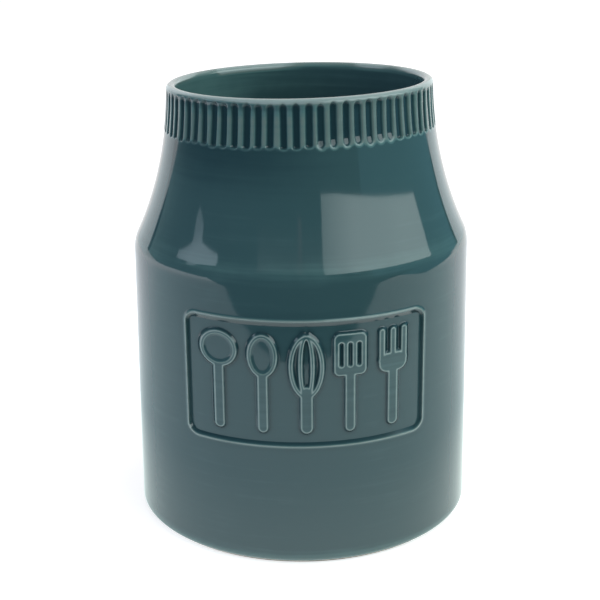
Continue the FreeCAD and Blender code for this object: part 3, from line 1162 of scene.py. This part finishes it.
class CROCK_OT_studio(bpy.types.Operator):
    """Sets up the white floor, the lamps, the dark flags, the world and the camera"""

    bl_idname = "crock.studio"
    bl_label = "Studio"

    room_left, room_right, room_front, room_near, room_high = -1.0, 1.7, -1.6, -0.30, 1.8
    left_end, right_end, right_bend, right_corner = (-1.0, 0.715), (0.97, 0.80), (1.17, 0.57), (1.45, 0.25)
    floor_lift = 0.0005

    def execute(self, context):
        levels = context.scene.crock_studio
        context.scene.view_settings.view_transform = "Standard"
        self.floor(levels)
        self.world(context.scene, levels)
        self.softbox(levels)
        self.side_lamp(levels)
        self.stand(levels)
        self.soft_lights(levels)
        self.dark_room(levels)
        self.room_edges()
        self.rear_sheets(levels)
        self.camera(context.scene)
        return {"FINISHED"}

    def card(self, name, corners, material, lights, mirrored=True, along=None):
        """A flat card, seen by the light on the pot, by the mirroring glaze, or by both."""
        item = new_object(name, corners, [list(range(len(corners)))])
        item.data.materials.append(material)
        if along is not None:
            item.data.attributes.new("along", "FLOAT", "POINT").data.foreach_set("value", along)
        item.visible_camera = False
        item.visible_diffuse = lights
        item.visible_glossy = mirrored
        item.visible_shadow = False
        item.visible_transmission = False
        item.visible_volume_scatter = False
        return item

    def floor(self, levels):
        """White paper that keeps the pot's shadow, with a glow that lifts it to white further out."""
        reach, paper_grey = 4.0, (0.70, 0.70, 0.70)
        corners = [(-reach, -reach, 0.0), (reach, -reach, 0.0), (reach, reach, 0.0), (-reach, reach, 0.0)]
        item = new_object("studio_floor", corners, [[0, 1, 2, 3]])
        material, tree = new_material("white_floor")
        tree.nodes.clear()
        paper = tree.nodes.new("ShaderNodeBsdfDiffuse")
        paper.inputs["Color"].default_value = node_colour(paper_grey)
        glow = tree.nodes.new("ShaderNodeEmission")
        both = tree.nodes.new("ShaderNodeAddShader")
        out = tree.nodes.new("ShaderNodeOutputMaterial")
        tree.links.new(self.floor_glow(tree, levels), glow.inputs["Color"])
        tree.links.new(paper.outputs[0], both.inputs[0])
        tree.links.new(glow.outputs[0], both.inputs[1])
        tree.links.new(both.outputs[0], out.inputs["Surface"])
        item.data.materials.append(material)

    def floor_glow(self, tree, levels):
        """Colour of the floor's glow, by the distance from the pot and by the side of it."""
        foot, close, dip, dip_end, seen_end, open_floor, edge = 0.08, 0.15, 0.21, 0.30, 0.40, 0.42, 0.70
        low_share, dim_share = 0.8, 0.25
        side_gain, side_zero, rear_gain, rear_zero = 3.3, 0.83, 6.0, -0.48
        white = (1.0, 1.0, 1.0)
        near, mid, rear = levels.floor_near, levels.floor_mirrored, levels.floor_rear
        low, dim = [low_share * c for c in mid], [dim_share * c for c in mid]
        ramps = {
            "seen": [(foot, levels.floor_seen), (seen_end, white)],
            "front": [
                (foot, near), (close, mid), (dip, low), (dip_end, low), (open_floor, dim), (edge, white),
            ],
            "side": [(foot, near), (close, mid), (open_floor, mid), (edge, white)],
            "rear": [(foot, near), (close, rear), (open_floor, rear), (edge, white)],
        }
        seen, mirrored = mirrored_rays(tree)
        place = tree.nodes.new("ShaderNodeTexCoord")
        apart = tree.nodes.new("ShaderNodeVectorMath")
        apart.operation = "LENGTH"
        tree.links.new(place.outputs["Object"], apart.inputs[0])
        glows = {}
        for name, stops in ramps.items():
            ramp = tree.nodes.new("ShaderNodeValToRGB")
            set_ramp(ramp, stops)
            tree.links.new(apart.outputs["Value"], ramp.inputs["Fac"])
            glows[name] = ramp.outputs["Color"]
        parts = tree.nodes.new("ShaderNodeSeparateXYZ")
        tree.links.new(place.outputs["Object"], parts.inputs[0])
        sideways = math_node(tree, "MULTIPLY_ADD", parts.outputs["Y"], side_gain, side_zero)
        backwards = math_node(tree, "MULTIPLY_ADD", parts.outputs["Y"], rear_gain, rear_zero)
        beside = colour_mix(tree, sideways, glows["front"], glows["side"])
        in_glaze = colour_mix(tree, backwards, beside, glows["rear"])
        shown = colour_mix(tree, mirrored, levels.floor_bounce, in_glaze)
        return colour_mix(tree, seen, shown, glows["seen"])

    def world(self, scene, levels):
        """White to the camera and to mirrored rays, nearly dark as a light."""
        world = bpy.data.worlds.new("white_surround")
        world.use_nodes = True
        tree = world.node_tree
        background = tree.nodes["Background"]
        seen, mirrored = mirrored_rays(tree)
        either = math_node(tree, "MAXIMUM", seen, mirrored)
        tree.links.new(colour_mix(tree, either, levels.fill, (1.0, 1.0, 1.0)), background.inputs["Color"])
        scene.world = world

    def upright_card(self, facing, distance, outline):
        """Corners of an upright card at a bearing from the front; its outline is (along, height)."""
        turn = math.radians(facing)
        away = np.array([math.sin(turn), -math.cos(turn), 0.0]) * distance
        along = np.array([math.cos(turn), math.sin(turn), 0.0])
        return [away + along * a + np.array([0.0, 0.0, h]) for a, h in outline]

    def softbox(self, levels):
        """The large softbox on the right, whose lower edge sags to the right."""
        left, corner, right, top = -0.357, 1.05, 1.15, 1.0
        foot, sag, sag_reach, edge_points = 0.303, 0.049, 0.36, 16
        edge = np.linspace(left, corner, edge_points)
        outline = [(a, foot + sag * math.exp((left - a) / sag_reach)) for a in edge]
        outline += [(right - 0.04, foot + 0.065), (right, foot + 0.135), (right, top), (left, top)]
        shares = [(0.0, 0.50), (0.09, 0.72), (0.22, 1.0), (0.60, 1.0), (1.0, 0.75)]
        material = graded_material("softbox", levels.softbox, shares)
        corners = self.upright_card(40.0, 0.75, outline)
        along = [(a - left) / (right - left) for a, _ in outline]
        self.card("studio_softbox", corners, material, lights=True, along=along)

    def side_lamp(self, levels):
        """The small lamp on the left, with its shade and the neck below it."""
        tip, top = 0.286, 0.60
        outline = [
            (-0.07, tip), (-0.025, 0.315), (0.01, 0.34), (0.015, 0.385), (0.055, 0.405), (0.145, 0.445),
            (0.21, 0.475), (0.215, top), (-0.26, top), (-0.26, 0.375), (-0.25, 0.355), (-0.155, 0.365),
            (-0.10, 0.365), (-0.09, 0.35), (-0.095, 0.305),
        ]
        shares = [(0.0, 0.40), (0.20, 0.55), (0.36, 1.0), (1.0, 1.0)]
        material = graded_material("side_lamp", levels.side_lamp, shares)
        corners = self.upright_card(-75.0, 0.80, outline)
        along = [(h - tip) / (top - tip) for _, h in outline]
        self.card("studio_side_lamp", corners, material, lights=True, along=along)

    def stand(self, levels):
        """The dim lamp stand in front, a post with a head."""
        foot, neck, head, top = 0.68, 1.05, 1.12, 1.5
        outline = [
            (-0.07, foot), (0.0, foot), (0.0, neck), (0.035, head),
            (0.035, top), (-0.13, top), (-0.13, head), (-0.075, neck),
        ]
        corners = self.upright_card(0.0, 1.5, outline)
        self.card("studio_stand", corners, glow_material("stand", levels.stand), lights=False)

    def soft_lights(self, levels):
        """The diffuser above and the sheet on the left, which only light the pot."""
        left, right, half_deep, level = -0.2, 1.2, 0.7, 1.3
        plan = [(left, -half_deep), (left, half_deep), (right, half_deep), (right, -half_deep)]
        above = [(x, y, level) for x, y in plan]
        overhead = glow_material("overhead", levels.overhead)
        self.card("studio_overhead", above, overhead, lights=True, mirrored=False)
        half_wide, tall = 0.9, 1.2
        outline = [(-half_wide, 0.0), (half_wide, 0.0), (half_wide, tall), (-half_wide, tall)]
        sheet = glow_material("left_fill", levels.left_fill)
        corners = self.upright_card(-70.0, 1.1, outline)
        self.card("studio_left_fill", corners, sheet, lights=True, mirrored=False)

    def upright_sheet(self, start, finish, high):
        """Corners of an upright sheet between two places on the floor."""
        return [(*start, 0.0), (*finish, 0.0), (*finish, high), (*start, high)]

    def dark_room(self, levels):
        """Dark cards on the floor, the walls and the ceiling of the unlit room; the glaze mirrors them."""
        left, right, front, near, high = (
            self.room_left, self.room_right, self.room_front, self.room_near, self.room_high
        )
        front_shares = [(0.0, 0.04), (0.42, 0.04), (0.66, 1.0)]
        left_shares = [(0.0, 1.0), (0.22, 0.30), (0.36, 0.06), (1.0, 0.03)]
        front_room = graded_material("front_room", levels.room_front, front_shares)
        left_room = graded_material("left_room", levels.room_left, left_shares)
        right_room = glow_material("right_room", levels.room_right)
        ceiling = glow_material("ceiling", levels.room_top)
        front_floor = [(left, front), (right, front), (right, near), (-0.40, near), (left, -0.52)]
        right_floor = [
            (0.62, near), (0.575, -0.25), (0.465, -0.11), (0.45, -0.03), (0.50, 0.065), (0.62, 0.21),
            (0.975, 0.57), self.right_bend, self.right_corner, (right, near),
        ]
        for name, plan, room in (("front", front_floor, front_room), ("right", right_floor, right_room)):
            self.card("flag_floor_" + name, [(x, y, self.floor_lift) for x, y in plan], room, lights=False)
        end = self.left_end[1]
        left_wall = [
            (0.55, 0.11), (0.35, 0.04), (0.15, 0.04), (-0.065, 0.06), (-0.29, 0.035), (-0.50, 0.015),
            (-0.56, 0.0), (front, 0.0), (front, high), (end, high), (end, 0.175),
        ]
        corners = [(left, y, z) for y, z in left_wall]
        along = [(end - y) / (end - front) for y, _ in left_wall]
        self.card("flag_wall_left", corners, left_room, lights=False, along=along)
        plan = [(left, front), (right, front), (right, near), self.right_corner]
        for number, (start, finish) in enumerate(zip(plan, plan[1:])):
            room = right_room if number else front_room
            corners = self.upright_sheet(start, finish, high)
            self.card(f"flag_wall_{number}", corners, room, lights=False, along=[0.0, 0.0, 1.0, 1.0])
        rear_foot, rear_depth = 0.10, 0.5
        corners = self.upright_sheet(self.right_corner, self.right_bend, high)[:2]
        corners += [(*self.right_end, rear_foot), (*self.right_end, high), (*self.right_corner, high)]
        self.card("flag_wall_rear", corners, right_room, lights=False)
        plan = [(left, front), (right, front), (right, rear_depth), (left, rear_depth)]
        self.card("flag_ceiling", [(x, y, high) for x, y in plan], ceiling, lights=False)

    def room_edges(self):
        """Black posts at the rear ends of the side walls."""
        black = glow_material("black_edge", (0.0, 0.0, 0.0))
        high, end = self.room_high, self.left_end[1]
        before = self.room_left + 2 * self.floor_lift
        left_post = [(end, 0.175), (end - 0.09, 0.14), (end - 0.06, high), (end, high)]
        self.card("flag_post_left", [(before, y, z) for y, z in left_post], black, lights=False)
        outer, inner = (0.969, 0.799), (1.009, 0.753)
        right_post = [(*outer, 0.10), (*inner, 0.08), (*inner, high), (*outer, high)]
        self.card("flag_post_right", right_post, black, lights=False)

    def rear_sheets(self, levels):
        """The lit sheets behind the pot, seen only in the glaze."""
        half_gap, depth, high = 0.35, 1.25, 1.0
        sheets = (
            ("rear_left", levels.rear_left, self.left_end, (-half_gap, depth)),
            ("rear_right", levels.rear_right, self.right_end, (half_gap, depth)),
        )
        for name, level, start, finish in sheets:
            corners = self.upright_sheet(start, finish, high)
            self.card("studio_" + name, corners, glow_material(name, level), lights=False)

    def camera(self, scene):
        """The camera in front of the pot, looking down on it with a slight roll."""
        sensor, lens = 36.0, 77.634
        look_down, roll = math.radians(17.95), math.radians(-0.547)
        place = Vector((-0.00059, -0.5210, 0.2557))
        data = bpy.data.cameras.new("photo_camera")
        data.sensor_fit = "HORIZONTAL"
        data.sensor_width = sensor
        data.lens = lens
        item = bpy.data.objects.new("photo_camera", data)
        turned = Matrix.Rotation(math.pi / 2 - look_down, 4, "X") @ Matrix.Rotation(roll, 4, "Z")
        item.matrix_world = Matrix.Translation(place) @ turned
        scene.collection.objects.link(item)
        scene.camera = item


class CROCK_PT_builder(bpy.types.Panel):
    """Lists the sizes, the finish and the pieces of the crock"""

    bl_idname = "CROCK_PT_builder"
    bl_label = "Utensil Crock"
    bl_space_type = "VIEW_3D"
    bl_region_type = "UI"
    bl_category = "Crock"

    def draw(self, context):
        for name, group in SETTINGS.items():
            box = self.layout.box()
            box.label(text=group.__doc__)
            settings = getattr(context.scene, name)
            for size in group.__annotations__:
                box.prop(settings, size)
        for operator in OPERATORS:
            self.layout.operator(operator.bl_idname)


OPERATORS = (
    CROCK_OT_base,
    CROCK_OT_foot_ring,
    CROCK_OT_wall,
    CROCK_OT_collar,
    CROCK_OT_panel,
    CROCK_OT_frame,
    CROCK_OT_tools,
    CROCK_OT_studio,
)


def register():
    for group in SETTINGS.values():
        bpy.utils.register_class(group)
    for operator in OPERATORS:
        bpy.utils.register_class(operator)
    bpy.utils.register_class(CROCK_PT_builder)
    for name, group in SETTINGS.items():
        setattr(bpy.types.Scene, name, bpy.props.PointerProperty(type=group))


def unregister():
    for name in SETTINGS:
        delattr(bpy.types.Scene, name)
    bpy.utils.unregister_class(CROCK_PT_builder)
    for operator in reversed(OPERATORS):
        bpy.utils.unregister_class(operator)
    for group in reversed(SETTINGS.values()):
        bpy.utils.unregister_class(group)


def main():
    register()
    bpy.ops.crock.base()
    bpy.ops.crock.foot_ring()
    bpy.ops.crock.wall()
    bpy.ops.crock.collar()
    bpy.ops.crock.panel()
    bpy.ops.crock.frame()
    bpy.ops.crock.tools()
    bpy.ops.crock.studio()


if __name__ == "__main__":
    main()
